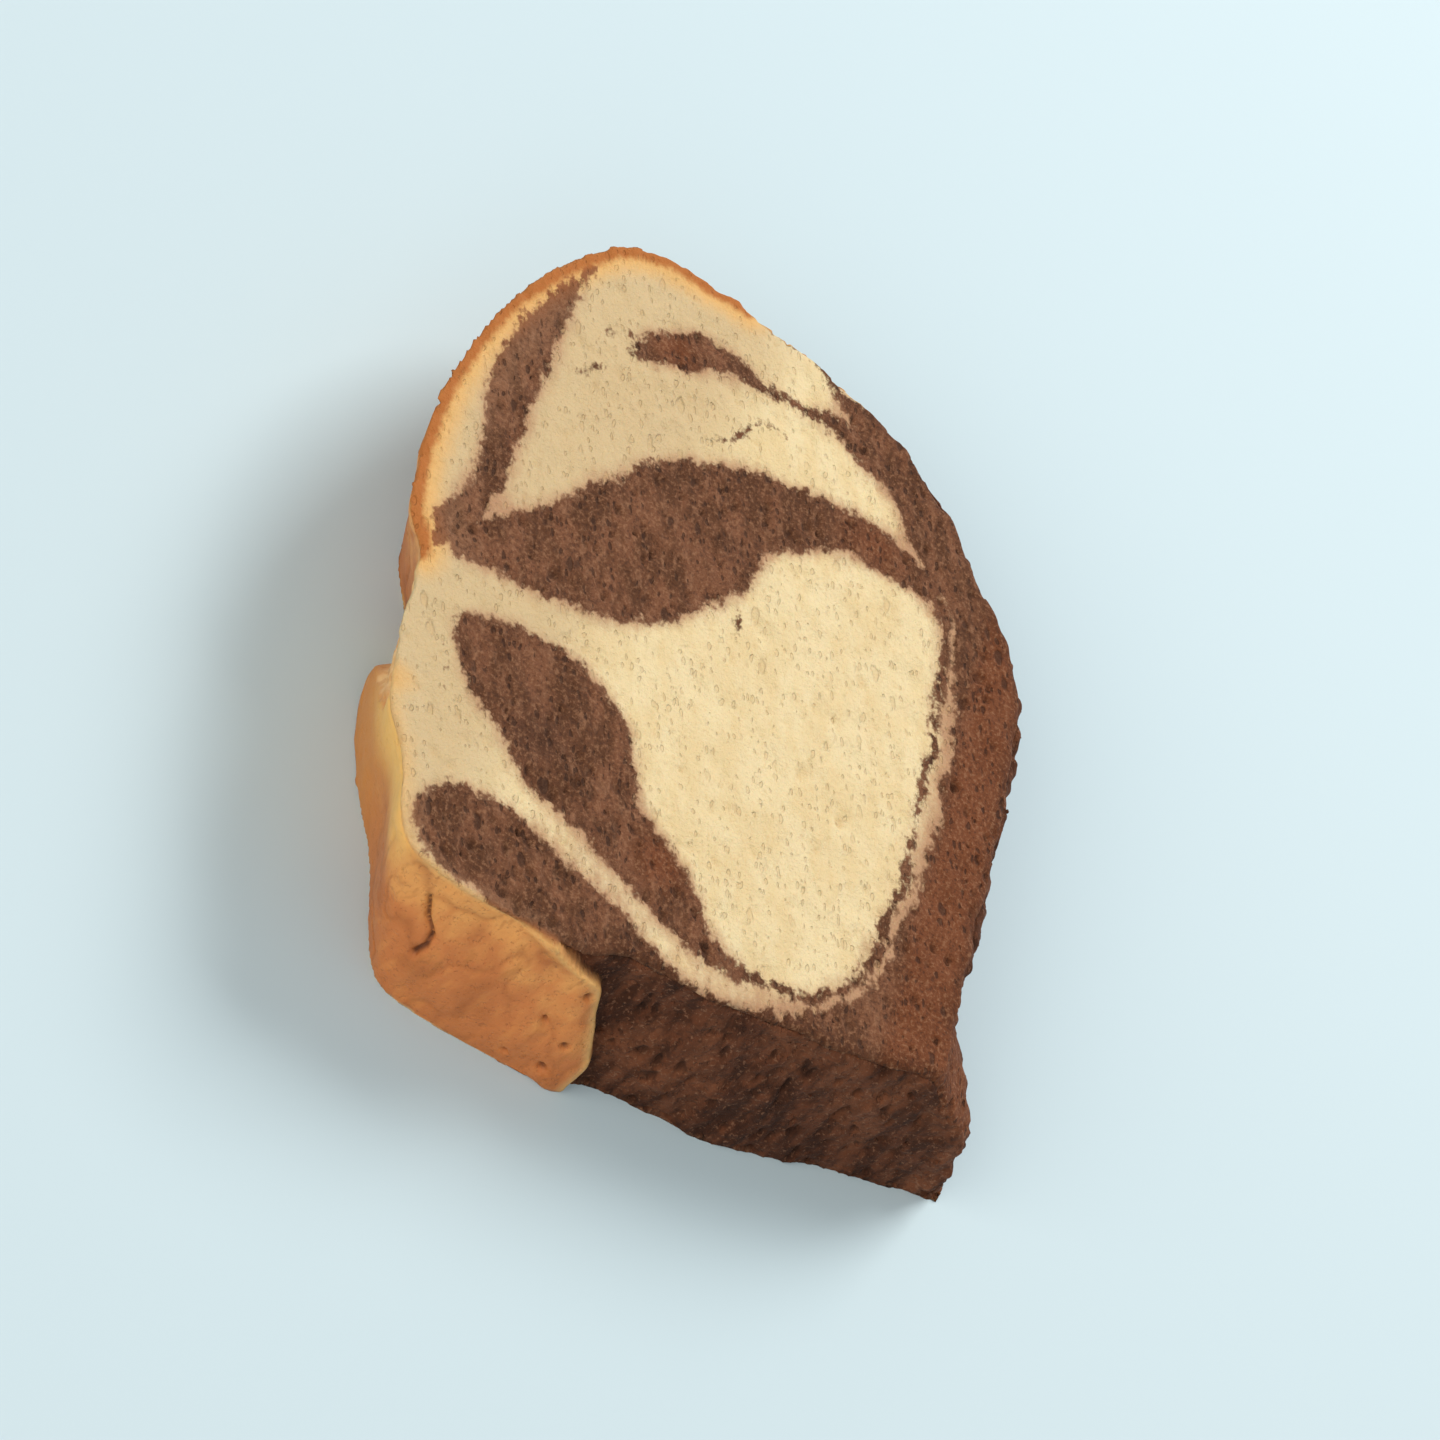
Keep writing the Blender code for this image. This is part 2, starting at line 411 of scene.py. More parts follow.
def lip_edge(depth):
    """The lip's lower edge, Y in the section."""
    hang = LIP_BACK_LIFT * ease(0.7, 1.0, depth) - LIP_HANG * depth
    return LIP_LOW + hang + LIP_FRONT_LIFT * (1 - ease(0.0, 0.26, depth)) ** 1.5


def crusted(flat, depth):
    """1 where the outer surface is baked crust, 0 where it stood in the tin."""
    wander = np.column_stack([flat, depth * THICKNESS])
    ragged = 0.35 * grain(wander, 2.2, 11)
    edge = lip_edge(depth)
    left = ease(edge - 0.3, edge + 0.3, flat[:, 1] + ragged)
    patchy = flat[:, 1] + 6 * grain(wander, 6.0, 19) + 5 * ragged
    right = ease(RIGHT_CRUST_LOW - RIGHT_CRUST_FADE, RIGHT_CRUST_LOW + RIGHT_CRUST_FADE, patchy)
    return np.where(flat[:, 0] < FACE_MIDDLE_X, left, right)


def split_start(depth):
    """Where the split begins, X in the section."""
    return SPLIT_FROM + SPLIT_SLANT * ease(0.1, 0.7, depth)


def torn_open(flat, depth):
    """1 in the split between the lip and the dome, where the crust is missing."""
    place = np.column_stack([flat, depth * THICKNESS])
    x = flat[:, 0] + 2.2 * grain(place * (0.3, 0.3, 1.0), 5.0, 13) + 0.9 * grain(place, 1.6, 18)
    start = split_start(depth)
    inside = ease(start - 0.6, start + 0.6, x) * (1 - ease(SPLIT_TO - 1.2, SPLIT_TO + 1.2, x))
    return inside * ease(SPLIT_LOW - 1.0, SPLIT_LOW + 1.0, flat[:, 1])


def gap_to(marked, flat):
    """Distance in the section from each point to the nearest marked one, up to a limit."""
    rows = np.flatnonzero(marked)[::3]
    tree = KDTree(len(rows))
    for row in rows:
        tree.insert((flat[row, 0], flat[row, 1], 0.0), int(row))
    tree.balance()
    return np.array([min(tree.find((x, y, 0.0))[2], FARTHEST_GAP) for x, y in flat])


def rounding(gap, radius):
    """How far a sharp edge's sides give way, at this distance from it, to be rounded."""
    left = np.clip(1 - gap / radius, 0, 1)
    return radius * (1 - np.sqrt(1 - left * left))


def lip_marks(flat, co):
    """The crack and the pits in the lip's skin, 1 at their deepest."""
    spot = np.column_stack([flat[:, 1], co[:, 2]])
    deepest = np.zeros(len(spot))
    for start, end in zip(LIP_CRACK, LIP_CRACK[1:]):
        start, run = np.array(start), np.array(end) - np.array(start)
        t = np.clip((spot - start) @ run / (run @ run), 0, 1)
        away = np.linalg.norm(spot - start - t[:, None] * run, axis=1)
        deepest = np.maximum(deepest, np.clip(1 - away / LIP_CRACK_REACH, 0, 1))
    for y, z, reach in LIP_PITS:
        away = np.linalg.norm(spot - (y, z), axis=1)
        deepest = np.maximum(deepest, np.clip(1 - away / reach, 0, 1))
    return deepest * (flat[:, 0] < 0)


def cocoa_tone(flat):
    """How the cocoa's colour wanders: 1 redder, -1 darker."""
    tone = 1 - ease(RED_BASE_LOW, RED_BASE_HIGH, flat[:, 1])
    for x, y, reach, amount in COCOA_TONES:
        tone += amount * np.exp(-((flat[:, 0] - x) ** 2 + (flat[:, 1] - y) ** 2) / (0.5 * reach ** 2))
    return np.clip(tone, -1, 1)


def surveyed(mesh):
    """Where each vertex lies, in millimetres, and what kind of surface it is on, from 0 to 1."""
    at = SimpleNamespace(co=vertex_array(mesh, "co") / MM, normal=vertex_array(mesh, "normal"))
    at.flat, at.depth = section_places(at.co)
    at.x, at.y = at.flat.T
    at.behind = at.depth * THICKNESS
    at.crust, at.split = crusted(at.flat, at.depth), torn_open(at.flat, at.depth)
    at.face = ease(0.45, 0.85, at.normal[:, 2])
    at.back = ease(0.6, 0.95, -at.normal[:, 2])
    at.side = (1 - at.face) * (1 - at.back)
    at.wall = at.side * (1 - at.crust)
    at.opened = at.side * at.crust * at.split
    at.skin = at.side * at.crust * (1 - at.split)
    at.left = 1 - ease(*LEFT_SIDE_X, at.x)
    at.split_start = split_start(at.depth)
    at.above_lip = at.y - lip_edge(at.depth)

    # How deep inside the cocoa, and how much cocoa lies about
    field = cocoa_field()
    wander = [grain(at.co, BORDER_WANDER_GRAIN, salt) for salt in (1, 2)]
    place = at.flat + BORDER_WANDER * np.column_stack(wander)
    at.cocoa = sampled(field, place)
    share = softened(ease(-BORDER_SOFTNESS, BORDER_SOFTNESS, field), BLEED_REACH)
    at.cocoa_share = sampled(share, place)

    # Distances over the face from the crust and from the crumbly sides
    front = (at.side > 0.7) & (at.depth < 0.1)
    at.skin_gap = gap_to(front & (at.crust > 0.5) & (at.split < 0.5), at.flat)
    at.wall_gap = gap_to(front & (at.crust < 0.5), at.flat)

    # The places ruffled for ragged holes, and drawn out along the loaf for what tore in the tin
    at.ragged = ruffled(at.co, 1.1, 0.35, 70)
    at.lengthwise = ruffled(at.co, 1.6, 0.5, 80) * np.array([1.0, 1.0, 0.4])
    narrow, wide = pores(at.lengthwise, 1.5, 0.7, 0.7, 60), pores(at.lengthwise, 3.4, 1.2, 0.4, 65)
    at.holes = np.maximum(narrow, wide)
    return at


def cut_crumb(at):
    """How deep the cut face is: small pores all over, large ones, and the knife's faint drag."""
    dark = ease(-BORDER_SOFTNESS, BORDER_SOFTNESS, at.cocoa)
    drawn = along_knife(at.co, 0.5)
    crumb = 0.10 * grain(drawn, 0.95, 3) + 0.07 * grain(drawn, 0.62, 4) + 0.08 * grain(at.co, 2.6, 14)
    small = pores(along_knife(at.ragged, 0.7), 1.35, 0.66, 0.65, 20)
    clear_of_border = ease(0.3, 1.6, np.abs(at.cocoa))
    large = pores(along_knife(at.ragged, 0.75), 4.2, 1.05, 0.4, 40) * clear_of_border
    at.cut_pores = at.face * np.maximum(small * 0.6, large)
    cavity = (0.2 + 0.24 * dark) * small + (0.34 + 0.56 * dark) * large
    return at.face * (cavity - crumb)


def torn_sides(at):
    """How deep the sides that stood in the tin are: torn crumb along the loaf, a worn rim."""
    rough = 0.42 * grain(at.lengthwise, 2.3, 5) + 0.3 * grain(at.lengthwise, 1.1, 6)
    rough = rough + 0.16 * grain(at.co, 0.62, 7)
    worn = 1.5 + 0.7 * grain(at.co, 3.5, 15)
    rim = at.face * rounding(at.wall_gap, worn) + at.wall * rounding(at.behind, worn)
    return at.wall * (0.35 - rough + 0.7 * at.holes) + rim


def lip_and_split(at):
    """The lip's crust stands proud of the side below it; the split lies lower than the crust."""
    swell = ease(-0.5, 0.5, at.above_lip) * (1 - ease(*LIP_SWELL_FADE, at.above_lip))
    inward = at.wall * at.left * LIP_STEP * (1 - ease(0.0, LIP_STEP_REACH, -at.above_lip))
    inward = inward - at.side * at.left * LIP_SWELL * swell
    high = at.side * ease(*HIGH_CRUST_Y, at.y)
    rise = ease(*SHOULDER_RISE_X, at.x) * (1 - ease(at.split_start - 0.7, at.split_start + 0.5, at.x))
    inward = inward - SHOULDER_RISE * high * rise * ease(0.1, 0.9, at.depth)
    inward = inward + DOME_SHAVE * high * np.exp(-((at.x - DOME_SHAVE_X) / DOME_SHAVE_REACH) ** 2)
    torn = 0.3 * grain(at.lengthwise, 1.8, 16) + 0.16 * grain(at.co, 0.8, 17)
    return inward + at.opened * (0.5 - torn + 0.3 * at.holes)


def baked_crust(at):
    """Soft wrinkles, mostly along the loaf, small blisters, and the lip's crack and pits."""
    wrinkle = 0.16 * grain(at.lengthwise, 3.0, 8) + 0.08 * grain(at.lengthwise, 1.2, 9)
    crease = np.clip(1 - np.abs(grain(at.lengthwise, 2.4, 10)) / 0.14, 0, 1)
    blister = pores(at.ragged, 2.6, 0.8, 0.35, 90)
    at.marks = lip_marks(at.flat, at.co)
    # Where the crust is painted darker: painted shade in the creases, and the blisters
    at.creases = at.skin * np.maximum(crease * 0.6, blister * 0.4)
    gathered = 0.16 * crease * ease(-0.1, 0.4, grain(at.co, 6.0, 12))
    return at.skin * (0.14 - wrinkle - 0.14 * blister + gathered + LIP_MARK_DEPTH * at.marks)


def finish_readings(at):
    """What the finish reads at each vertex."""
    # Cut crust: brown then golden at the dome, all golden left of the split, a mere line on the lip
    golden = 1 - ease(at.split_start - 1.0, at.split_start + 2.0, at.x)
    thin = 1 - ease(*THIN_SKIN_Y, at.y)
    skin_mm = at.skin_gap * (1 + golden * (2.4 * thin - 0.3)) + golden * (2.4 - 0.8 * thin)

    # Painted sunlight on the shoulder's skin, and the pale hem along the lip's lower and front edges
    painted_sunlight_band = ease(36.0, 42.0, at.y - 12 * np.minimum(at.depth, 0.45))
    before_split = 1 - ease(at.split_start + 3.0, at.split_start + 5.0, at.x)
    lower_edge = 1 - np.abs(at.above_lip - HEM_MIDDLE) / HEM_REACH
    front_edge = 1 - at.behind / HEM_REACH
    hem = np.clip(np.maximum(lower_edge, front_edge), 0, 1)

    torn_holes = (at.wall + at.opened) * at.holes
    return {
        "cocoa_mm": at.cocoa, "cocoa_share": at.cocoa_share, "skin_mm": skin_mm,
        "crust": at.side * at.crust, "split": at.split, "wall": at.wall, "depth": at.depth,
        "back": at.back, "tone": cocoa_tone(at.flat),
        # Painted shade in the cut pores, the torn holes and the lip's crack and pits
        "pit": np.clip(np.maximum(at.cut_pores, np.maximum(torn_holes, at.marks)), 0, 1),
        "shoulder": before_split * painted_sunlight_band * at.side * (1 - at.split),
        "hem": hem * at.side * at.crust * golden * thin, "crease": at.creases,
        "outer": ease(22.0, 36.0, at.y + 0.25 * at.x - 4.0),
        "rim": (1 - ease(0.5, 5.0, at.wall_gap)) * at.face,
    }


def carve_crumb(piece):
    """Crumb, pores, rough sides and wrinkled crust as real relief, inside the solid's box."""
    mesh = piece.data
    at = surveyed(mesh)
    inward = cut_crumb(at) + torn_sides(at) + lip_and_split(at) + baked_crust(at)
    carved = at.co - at.normal * inward[:, None]
    lowest, highest = np.array(LOW) / MM, np.array(HIGH) / MM
    carved = np.clip(carved, lowest + [BOX_MARGIN, BOX_MARGIN, 0], highest - BOX_MARGIN)
    carved[at.back > 0.5, 2] = 0.0
    mesh.vertices.foreach_set("co", (carved * MM).ravel())
    mesh.update()
    keep_readings(mesh, finish_readings(at))


def thin_out(piece):
    """Fewer triangles on the flat back, which lies on the floor, and on the sides."""
    mesh = piece.data
    sides = reading(mesh, "crust") + reading(mesh, "wall")
    for name, marked, keep in (
        ("flat_back", reading(mesh, "back") > 0.9, BACK_KEEP),
        ("outer_sides", sides > 0.9, SIDE_KEEP),
    ):
        group = piece.vertex_groups.new(name=name)
        group.add([int(row) for row in np.flatnonzero(marked)], 1.0, "REPLACE")
        thin = piece.modifiers.new(name, "DECIMATE")
        thin.ratio = 1 - marked.mean() * (1 - keep)
        thin.vertex_group = name
        thin.vertex_group_factor = THINNING_PULL
    apply_modifiers(piece)


def clinging_crumbs(source):
    """Loose grains of crumb, half sunk in the torn sides and the worn rim, as one mesh."""
    chance = random.Random(CRUMB_SEED)
    mesh = source.data
    names = [layer.name for layer in mesh.attributes if layer.data_type == "FLOAT"]
    readings = {name: reading(mesh, name) for name in names}
    co, normal = vertex_array(mesh, "co"), vertex_array(mesh, "normal")

    # Most cling to the sides, some to the rim and the split, hardly any to the cut face
    likely = readings["wall"] + 0.5 * readings["rim"] + 0.3 * readings["split"] * readings["crust"]
    likely = likely + 0.012 * (normal[:, 2] > 0.7)
    likely[co[:, 2] < CRUMB_FLOOR_GAP * MM] = 0
    drawing = np.random.default_rng(CRUMB_SEED)
    places = drawing.choice(len(co), CRUMB_COUNT, replace=False, p=likely / likely.sum())
    bm = bmesh.new()
    owners = []
    for place in places:
        size = CRUMB_SMALLEST + (CRUMB_LARGEST - CRUMB_SMALLEST) * chance.random() ** 2.5
        if readings["wall"][place] < 0.5:
            size *= 0.6
        middle = co[place] + normal[place] * size * MM * chance.uniform(-0.35, 0.1)
        middle = np.clip(middle, np.array(LOW) + size * MM * 0.8, np.array(HIGH) - size * MM * 0.8)
        turn = Quaternion([chance.gauss(0, 1) for _ in range(4)]).normalized().to_matrix().to_4x4()
        stretch = Matrix.Diagonal([chance.uniform(0.6, 1.15) for _ in range(3)] + [1.0])
        whole = Matrix.Translation(middle) @ turn @ stretch
        grown = bmesh.ops.create_icosphere(bm, subdivisions=1, radius=0.5 * size * MM, matrix=whole)
        for vert in grown["verts"]:
            away = vert.co - Vector(middle)
            vert.co = Vector(middle) + away * chance.uniform(0.72, 1.12)
            owners.append(place)
    crumbs = bpy.data.meshes.new("clinging_crumbs")
    bm.to_mesh(crumbs)
    bm.free()
    owners = np.array(owners)
    keep_readings(crumbs, {name: values[owners] for name, values in readings.items()})
    return new_piece("clinging_crumbs", crumbs)


def colour(hexa):
    """An sRGB hex value as linear red, green, blue and a solid alpha."""
    parts = [int(hexa[i:i + 2], 16) / 255 for i in (1, 3, 5)]
    return [p / 12.92 if p <= 0.04045 else ((p + 0.055) / 1.055) ** 2.4 for p in parts] + [1.0]


def per_mm(size):
    """A texture's scale for a pattern of this size in millimetres, on coordinates in metres."""
    return 1000.0 / size


def add(tree, kind, inputs, **settings):
    """Adds one node, sets it up, and links or fills its inputs."""
    made = tree.nodes.new(kind)
    for name, value in settings.items():
        setattr(made, name, value)
    for socket, value in inputs.items():
        if isinstance(value, bpy.types.NodeSocket):
            tree.links.new(value, made.inputs[socket])
        else:
            made.inputs[socket].default_value = value
    return made


# Which sockets of a mix of two colours are its factor, its colours and its result
FACTOR, MIX_A, MIX_B, MIX_OUT = 0, 6, 7, 2


def layered(tree, base, *layers):
    """Tints laid over a base in turn. A layer is the value that places it, the values at which it
    starts and is full, how strong it gets, the tint and, where it isn't eased, how it grows."""
    for value, start, full, strength, tint, *way in layers:
        inputs = {"Value": value, "From Min": start, "From Max": full, "To Max": strength}
        growth = way[0] if way else "SMOOTHSTEP"
        share = add(tree, "ShaderNodeMapRange", inputs, interpolation_type=growth).outputs[0]
        inputs = {FACTOR: share, MIX_A: base, MIX_B: tint}
        base = add(tree, "ShaderNodeMix", inputs, data_type="RGBA").outputs[MIX_OUT]
    return base


def feathered(tree, value, *swings):
    """The value with each noise's swing about its middle added, so that its borders fray."""
    for noise, reach in swings:
        swing = add(tree, "ShaderNodeMath", {0: noise, 1: 0.5}, operation="SUBTRACT").outputs[0]
        inputs = {0: swing, 1: reach, 2: value}
        value = add(tree, "ShaderNodeMath", inputs, operation="MULTIPLY_ADD").outputs[0]
    return value


def air_holes(tree, places, size, fewest, widest):
    """Ragged air holes of many sizes: 1 in a hole and 0 in the wall between holes."""
    inputs = {"Vector": places, "Scale": per_mm(size)}
    cells = add(tree, "ShaderNodeTexVoronoi", inputs, feature="F1")
    chance = add(tree, "ShaderNodeSeparateColor", {"Color": cells.outputs["Color"]}).outputs[0]
    inputs = {"Value": chance, "From Min": fewest, "To Max": widest}
    reach = add(tree, "ShaderNodeMapRange", inputs, interpolation_type="SMOOTHSTEP").outputs[0]
    inputs = {0: reach, 1: cells.outputs["Distance"]}
    inside = add(tree, "ShaderNodeMath", inputs, operation="SUBTRACT").outputs[0]
    inputs = {"Value": inside, "From Min": -0.04, "From Max": 0.12}
    return add(tree, "ShaderNodeMapRange", inputs, interpolation_type="SMOOTHSTEP").outputs[0]


def crumb_patterns(tree):
    """The stored readings and the noises, in real sizes, that the sponge's colours go by."""
    at = SimpleNamespace()
    for name in ("cocoa_mm", "cocoa_share", "skin_mm", "tone", "pit", "crust", "split", "wall", "depth",
                 "rim", "shoulder", "outer", "hem", "crease"):
        setattr(at, name, add(tree, "ShaderNodeAttribute", {}, attribute_name=name).outputs["Fac"])

    # Patterns lie even, drawn out along the knife's way, or drawn out along the loaf
    place = add(tree, "ShaderNodeTexCoord", {}).outputs["Object"]
    knife = (0.0, 0.0, -math.atan2(KNIFE_WAY[1], KNIFE_WAY[0]))
    drawn = add(tree, "ShaderNodeMapping", {"Vector": place, "Rotation": knife}).outputs[0]
    drawn = add(tree, "ShaderNodeMapping", {"Vector": drawn, "Scale": (0.5, 1.0, 1.0)}).outputs[0]
    long = add(tree, "ShaderNodeMapping", {"Vector": place, "Scale": (1.0, 1.0, 0.3)}).outputs[0]
    for name, places, size, detail, roughness in (
        ("broad", place, 6.0, 2.0, 0.5),
        ("cells", place, 1.25, 2.0, 0.55),
        ("dents", place, 1.1, 2.0, 0.5),
        ("fine", place, 0.42, 3.0, 0.65),
        ("streak", drawn, 2.6, 3.0, 0.55),
        ("middle", drawn, 1.0, 3.0, 0.6),
        ("patches", long, 3.6, 2.0, 0.5),
        ("lengthwise", long, 1.5, 3.0, 0.6),
    ):
        inputs = {"Vector": places, "Scale": per_mm(size), "Detail": detail, "Roughness": roughness}
        setattr(at, name, add(tree, "ShaderNodeTexNoise", inputs).outputs[0])

    # Air holes, small and large, over the carved ones, and painted shade in them and in the pits
    jolt = add(tree, "ShaderNodeTexNoise", {"Vector": drawn, "Scale": per_mm(0.7)}).outputs["Color"]
    inputs = {0: jolt, "Scale": 0.55 * MM}
    jolt = add(tree, "ShaderNodeVectorMath", inputs, operation="SCALE").outputs[0]
    ragged = add(tree, "ShaderNodeVectorMath", {0: drawn, 1: jolt}, operation="ADD").outputs[0]
    inputs = {0: air_holes(tree, ragged, 0.55, 0.3, 0.42), 1: air_holes(tree, ragged, 1.3, 0.65, 0.36)}
    at.airy = add(tree, "ShaderNodeMath", inputs, operation="MAXIMUM").outputs[0]
    faint = add(tree, "ShaderNodeMath", {0: at.airy, 1: 0.7}, operation="MULTIPLY").outputs[0]
    at.hole = add(tree, "ShaderNodeMath", {0: at.pit, 1: faint}, operation="MAXIMUM").outputs[0]

    # Feathered edge between the batters: torn by about half a millimetre, in cells and threads
    at.torn = feathered(tree, at.cocoa_mm, (at.cells, 2.4), (at.middle, 1.6), (at.fine, 1.6))
    return at


def cut_colours(tree, at):
    """The cut face: vanilla and cocoa crumb inside a thin line of crust."""
    # Vanilla: cream in the heart, pinkish tan where cocoa has bled into a thin streak
    bled = feathered(tree, at.cocoa_share, (at.middle, 0.4), (at.fine, 0.25))
    vanilla = layered(
        tree, colour("#DCC99D"),
        (at.streak, 0.35, 0.65, 1.0, colour("#E1D2AA")),
        (at.outer, 0.0, 1.0, 0.8, colour("#C4AE88")),
        (bled, 0.16, 0.62, 1.0, colour("#B28D6E")),
        (at.fine, 0.54, 0.7, 0.4, colour("#D0B888")),
        # Painted shade in the pores
        (at.hole, 0.1, 0.9, 0.24, colour("#BE9C6A")),
    )

    # Cocoa: soft brown with painted near-black shade in its pores, its cut walls dusty, redder where
    # baked
    cocoa = layered(
        tree, colour("#55341F"),
        (at.streak, 0.38, 0.62, 1.0, colour("#734B34")),
        (at.middle, 0.52, 0.68, 0.6, colour("#845E46")),
        (at.tone, 0.0, 1.0, 0.7, colour("#703D20")),
        (at.tone, 0.0, -1.0, 0.55, colour("#3F2519")),
        (at.torn, 1.5, 0.1, 0.4, colour("#50301E")),
        (at.skin_mm, 8.0, 4.0, 0.3, colour("#9A7358")),
        (feathered(tree, at.rim, (at.middle, 0.5)), 0.6, 1.0, 0.5, colour("#47240F")),
        (at.fine, 0.5, 0.68, 0.45, colour("#9C7356")),
        (at.fine, 0.47, 0.34, 0.5, colour("#3A231A")),
        (at.hole, 0.1, 0.8, 0.7, colour("#301B12")),
    )

    # On the cut, the crust is a thin brown line that fades through gold into the crumb
    wavy = feathered(tree, at.skin_mm, (at.middle, 0.9), (at.fine, 0.6))
    gold = layered(tree, colour("#DDAF6C"), (at.torn, -0.3, 0.4, 1.0, colour("#905A36")))
    return layered(
        tree, vanilla,
        (at.torn, -0.3, 0.4, 1.0, cocoa),
        (wavy, 4.2, 1.2, 0.9, gold),
        (wavy, 1.9, 0.9, 1.0, colour("#AE6C37")),
    )


def tin_side_colours(tree, at):
    """Sides that stood in the tin: darker torn crumb with browned patches, streaked lengthwise."""
    brown = layered(
        tree, colour("#402110"),
        (at.lengthwise, 0.38, 0.62, 1.0, colour("#603722")),
        (at.patches, 0.48, 0.62, 0.55, colour("#7A4A30")),
        (at.patches, 0.46, 0.34, 0.6, colour("#2F170C")),
        (at.dents, 0.48, 0.36, 0.4, colour("#2F170C")),
        (at.fine, 0.55, 0.7, 0.6, colour("#8C644C")),
        # Painted shade in the torn holes
        (at.pit, 0.2, 0.9, 0.6, colour("#26140C")),
    )
    mostly_cocoa = feathered(tree, at.cocoa_share, (at.lengthwise, 0.5), (at.fine, 0.2))
    return layered(
        tree, colour("#B67F48"),
        (at.lengthwise, 0.38, 0.62, 1.0, colour("#CF9F64")),
        (at.patches, 0.5, 0.66, 0.6, colour("#9C6338")),
        # Painted shade in the torn holes
        (at.pit, 0.2, 0.9, 0.4, colour("#8A5A34")),
        (mostly_cocoa, 0.22, 0.5, 1.0, brown),
    )


def crust_colours(tree, at):
    """Crust: golden where thin, toasted orange-brown over the lip, pale torn crumb in the split."""
    toasted = feathered(tree, at.depth, (at.broad, 1.4), (at.lengthwise, 0.9))
    # Painted sunlight for the shoulder: paler gold near the cut, deeper gold behind
    painted_sunlight = layered(tree, colour("#EAB968"), (at.depth, 0.1, 0.6, 1.0, colour("#D08A42")))
    pale = layered(
        tree, colour("#DDA261"),
        (at.lengthwise, 0.4, 0.6, 1.0, colour("#EBBE83")),
        (at.broad, 0.45, 0.65, 0.5, colour("#C98446")),
        # Painted shade in the pores
        (at.hole, 0.1, 0.8, 0.5, colour("#B87A42")),
    )
    return layered(
        tree, colour("#DB9955"),
        (toasted, 0.0, 0.6, 1.0, colour("#C27640")),
        (at.lengthwise, 0.5, 0.72, 0.5, colour("#D38A4A")),
        (at.lengthwise, 0.44, 0.32, 0.45, colour("#A8642F")),
        (at.broad, 0.52, 0.72, 0.55, colour("#A5602F")),
        # Darker in the creases as painted shade, and on the small blisters
        (at.crease, 0.0, 1.0, 0.8, colour("#9A5829"), "LINEAR"),
        (at.fine, 0.42, 0.3, 0.5, colour("#8F522B")),
        # Painted sunlight over the shoulder's skin
        (at.shoulder, 0.0, 1.0, 0.85, painted_sunlight, "LINEAR"),
        (at.hem, 0.0, 1.0, 0.75, colour("#DDB573"), "LINEAR"),
        # Painted shade in the lip's crack and pits
        (at.pit, 0.2, 0.9, 0.85, colour("#4E2613")),
        (at.split, 0.0, 1.0, 1.0, pale, "LINEAR"),
    )


def marble_sponge():
    """Baked marble sponge: a matt open crumb with painted shade in its pores, darker than its cut cell
    walls, vanilla cream against soft brown cocoa with feathered edges, and a thin golden crust."""
    material = bpy.data.materials.new("marble_sponge")
    material.use_nodes = True
    tree = material.node_tree
    tree.nodes.clear()
    at = crumb_patterns(tree)
    whole = layered(
        tree, cut_colours(tree, at),
        (at.wall, 0.0, 1.0, 1.0, tin_side_colours(tree, at), "LINEAR"),
        (at.crust, 0.0, 1.0, 1.0, crust_colours(tree, at), "LINEAR"),
    )

    # The finest crumb, too small to carve: holes sink, grains stand up, the crust is smoother
    height = at.fine
    for pattern, amount in ((at.airy, -0.7), (at.middle, 0.6)):
        inputs = {0: pattern, 1: amount, 2: height}
        height = add(tree, "ShaderNodeMath", inputs, operation="MULTIPLY_ADD").outputs[0]
    inputs = {"Value": at.crust, "To Min": 1.0, "To Max": 0.32}
    relief = add(tree, "ShaderNodeMapRange", inputs, interpolation_type="SMOOTHSTEP").outputs[0]
    height = add(tree, "ShaderNodeMath", {0: height, 1: relief}, operation="MULTIPLY").outputs[0]
    bump = add(tree, "ShaderNodeBump", {"Strength": 0.85, "Distance": 0.3 * MM, "Height": height})
    inputs = {"Value": at.crust, "To Min": 0.92, "To Max": 0.56}
    matt = add(tree, "ShaderNodeMapRange", inputs, interpolation_type="SMOOTHSTEP").outputs[0]
    shader = add(tree, "ShaderNodeBsdfPrincipled", {
        "Base Color": whole, "Roughness": matt,
        "Normal": bump.outputs[0], "Specular IOR Level": 0.3, "Subsurface Weight": 0.12,
        "Subsurface Radius": (1.0, 0.5, 0.25), "Subsurface Scale": 0.8 * MM,
    })
    add(tree, "ShaderNodeOutputMaterial", {"Surface": shader.outputs[0]})
    return material


def seamless_paper():
    """Matt coloured card, as rolled out in a studio: no gloss and hardly any grain."""
    material = bpy.data.materials.new("seamless_paper")
    material.use_nodes = True
    tree = material.node_tree
    shader = tree.nodes["Principled BSDF"]
    place = add(tree, "ShaderNodeTexCoord", {}).outputs["Object"]
    cloud = add(tree, "ShaderNodeTexNoise", {"Vector": place, "Scale": per_mm(400.0)}).outputs[0]
    shade = layered(tree, colour("#BDD5E3"), (cloud, 0.0, 1.0, 1.0, colour("#C6DCE8"), "LINEAR"))
    tree.links.new(shade, shader.inputs["Base Color"])
    shader.inputs["Roughness"].default_value = 0.95
    return material


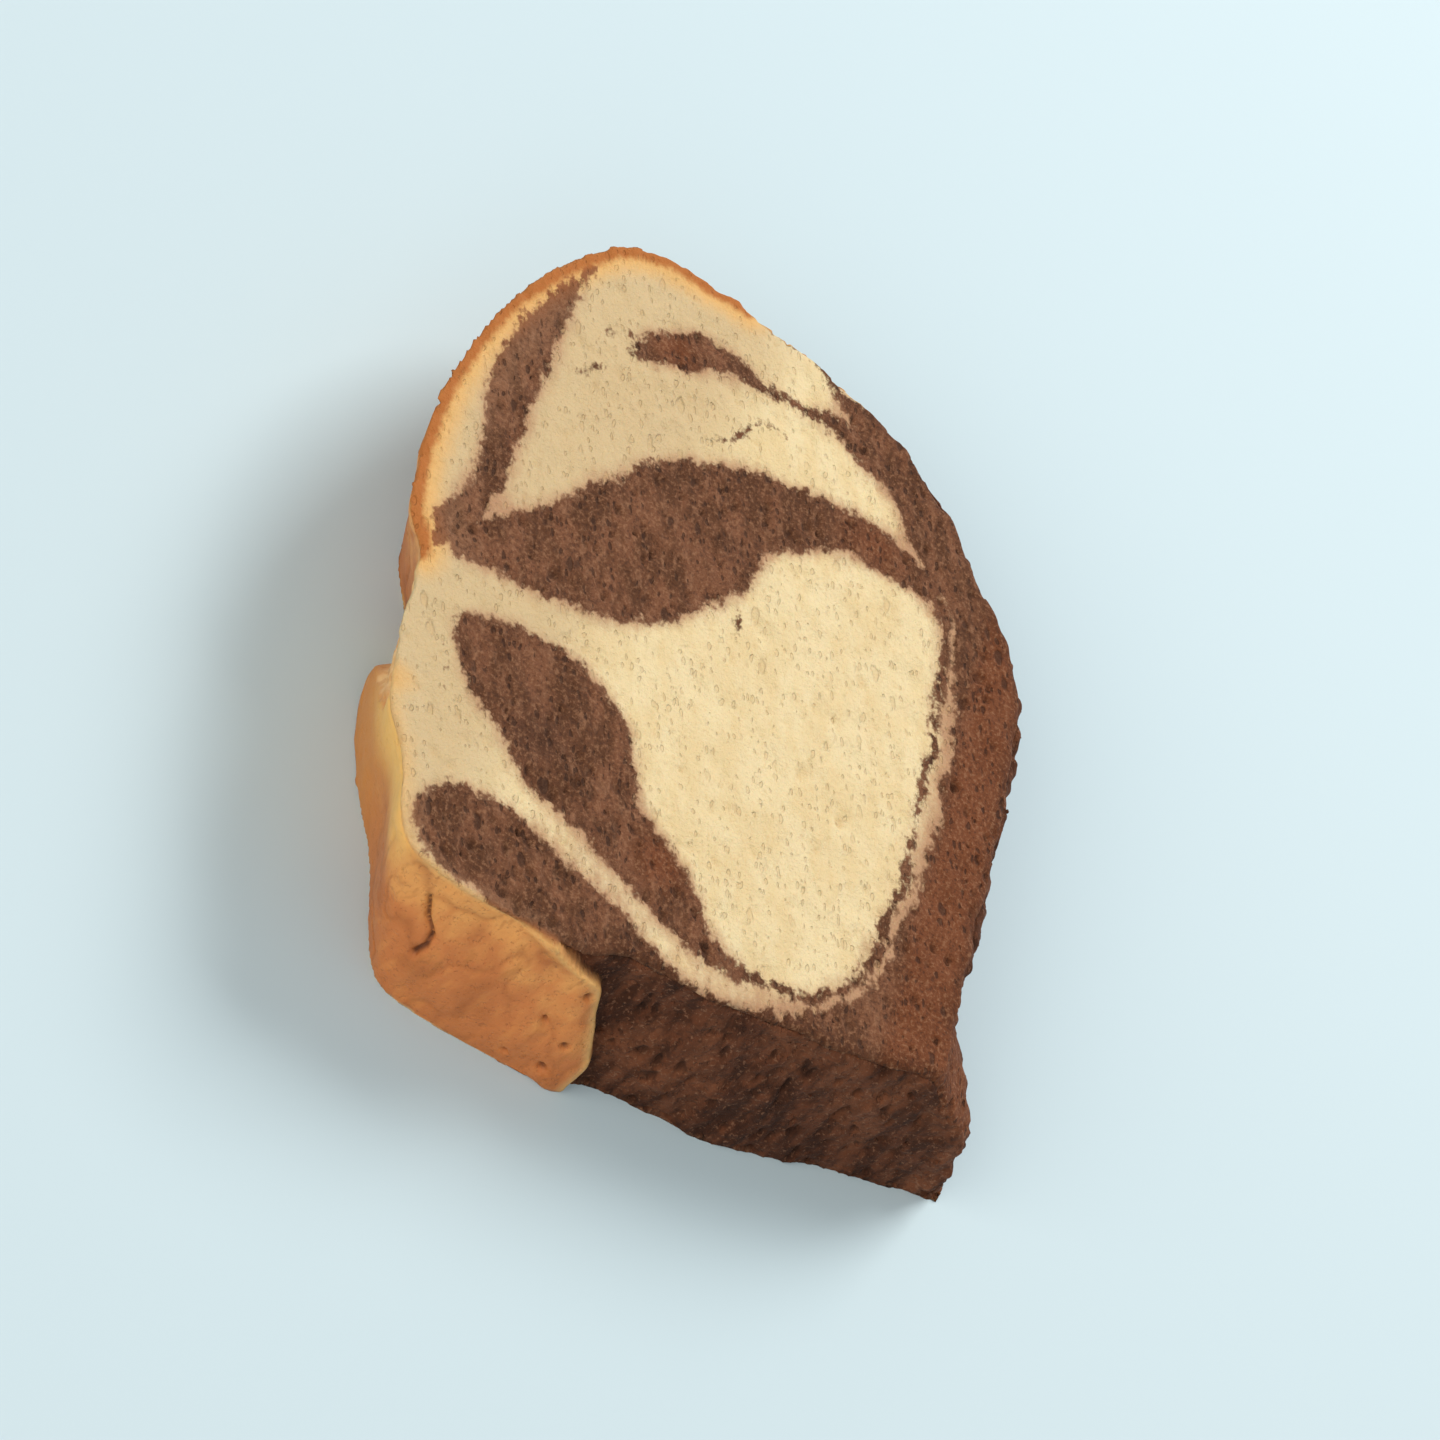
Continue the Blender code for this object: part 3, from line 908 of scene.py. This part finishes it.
def floor():
    bm = bmesh.new()
    bmesh.ops.create_grid(bm, x_segments=4, y_segments=4, size=FLOOR_REACH)
    mesh = bpy.data.meshes.new("studio_floor")
    bm.to_mesh(mesh)
    bm.free()
    mesh.materials.append(seamless_paper())
    piece = new_piece("studio_floor", mesh)


def looking(azimuth, elevation):
    """The direction from the slice to where a camera or light stands."""
    around, above = math.radians(azimuth), math.radians(elevation)
    level = math.cos(above)
    return Vector((math.sin(around) * level, -math.cos(around) * level, math.sin(above)))


def camera():
    """At the photograph's place and turned as it was, so the slice lies as it does there."""
    data = bpy.data.cameras.new("camera")
    data.lens = CAMERA_LENS
    data.clip_start = CAMERA_NEAREST
    eye = bpy.data.objects.new("camera", data)
    away = looking(CAMERA_AZIMUTH, CAMERA_ELEVATION)
    eye.location = CAMERA_AIM + away * CAMERA_DISTANCE
    upright = (-away).to_track_quat("-Z", "Y")
    eye.rotation_mode = "QUATERNION"
    eye.rotation_quaternion = upright @ Quaternion((0, 0, 1), math.radians(CAMERA_ROLL))
    bpy.context.scene.collection.objects.link(eye)
    bpy.context.scene.camera = eye


def softbox(name, azimuth, elevation, distance, size, power, tint):
    data = bpy.data.lights.new(name, "AREA")
    data.size = size
    data.energy = power
    data.color = colour(tint)[:3]
    light = bpy.data.objects.new(name, data)
    away = looking(azimuth, elevation)
    light.location = away * distance
    light.rotation_euler = away.to_track_quat("Z", "Y").to_euler()
    bpy.context.scene.collection.objects.link(light)


def studio():
    """Even daylight from a bright room, a key light across the crumb, and two fills facing it."""
    world = bpy.data.worlds.new("bright_room")
    world.use_nodes = True
    room = world.node_tree.nodes["Background"]
    room.inputs["Color"].default_value = colour(ROOM_TINT)
    room.inputs["Strength"].default_value = ROOM_STRENGTH
    bpy.context.scene.world = world
    for name, settings in SOFTBOXES.items():
        softbox(name, *settings)
    bpy.context.scene.view_settings.view_transform = "Standard"


camera()
studio()
floor()
marble_slice = fine_slice()
round_shoulder(marble_slice)
carve_crumb(marble_slice)
thin_out(marble_slice)
crumbs = clinging_crumbs(marble_slice)
sponge = marble_sponge()
for piece in (marble_slice, crumbs):
    piece.data.materials.clear()
    piece.data.materials.append(sponge)
    piece.data.shade_smooth()
    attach(piece, "root")
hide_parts(NODE)
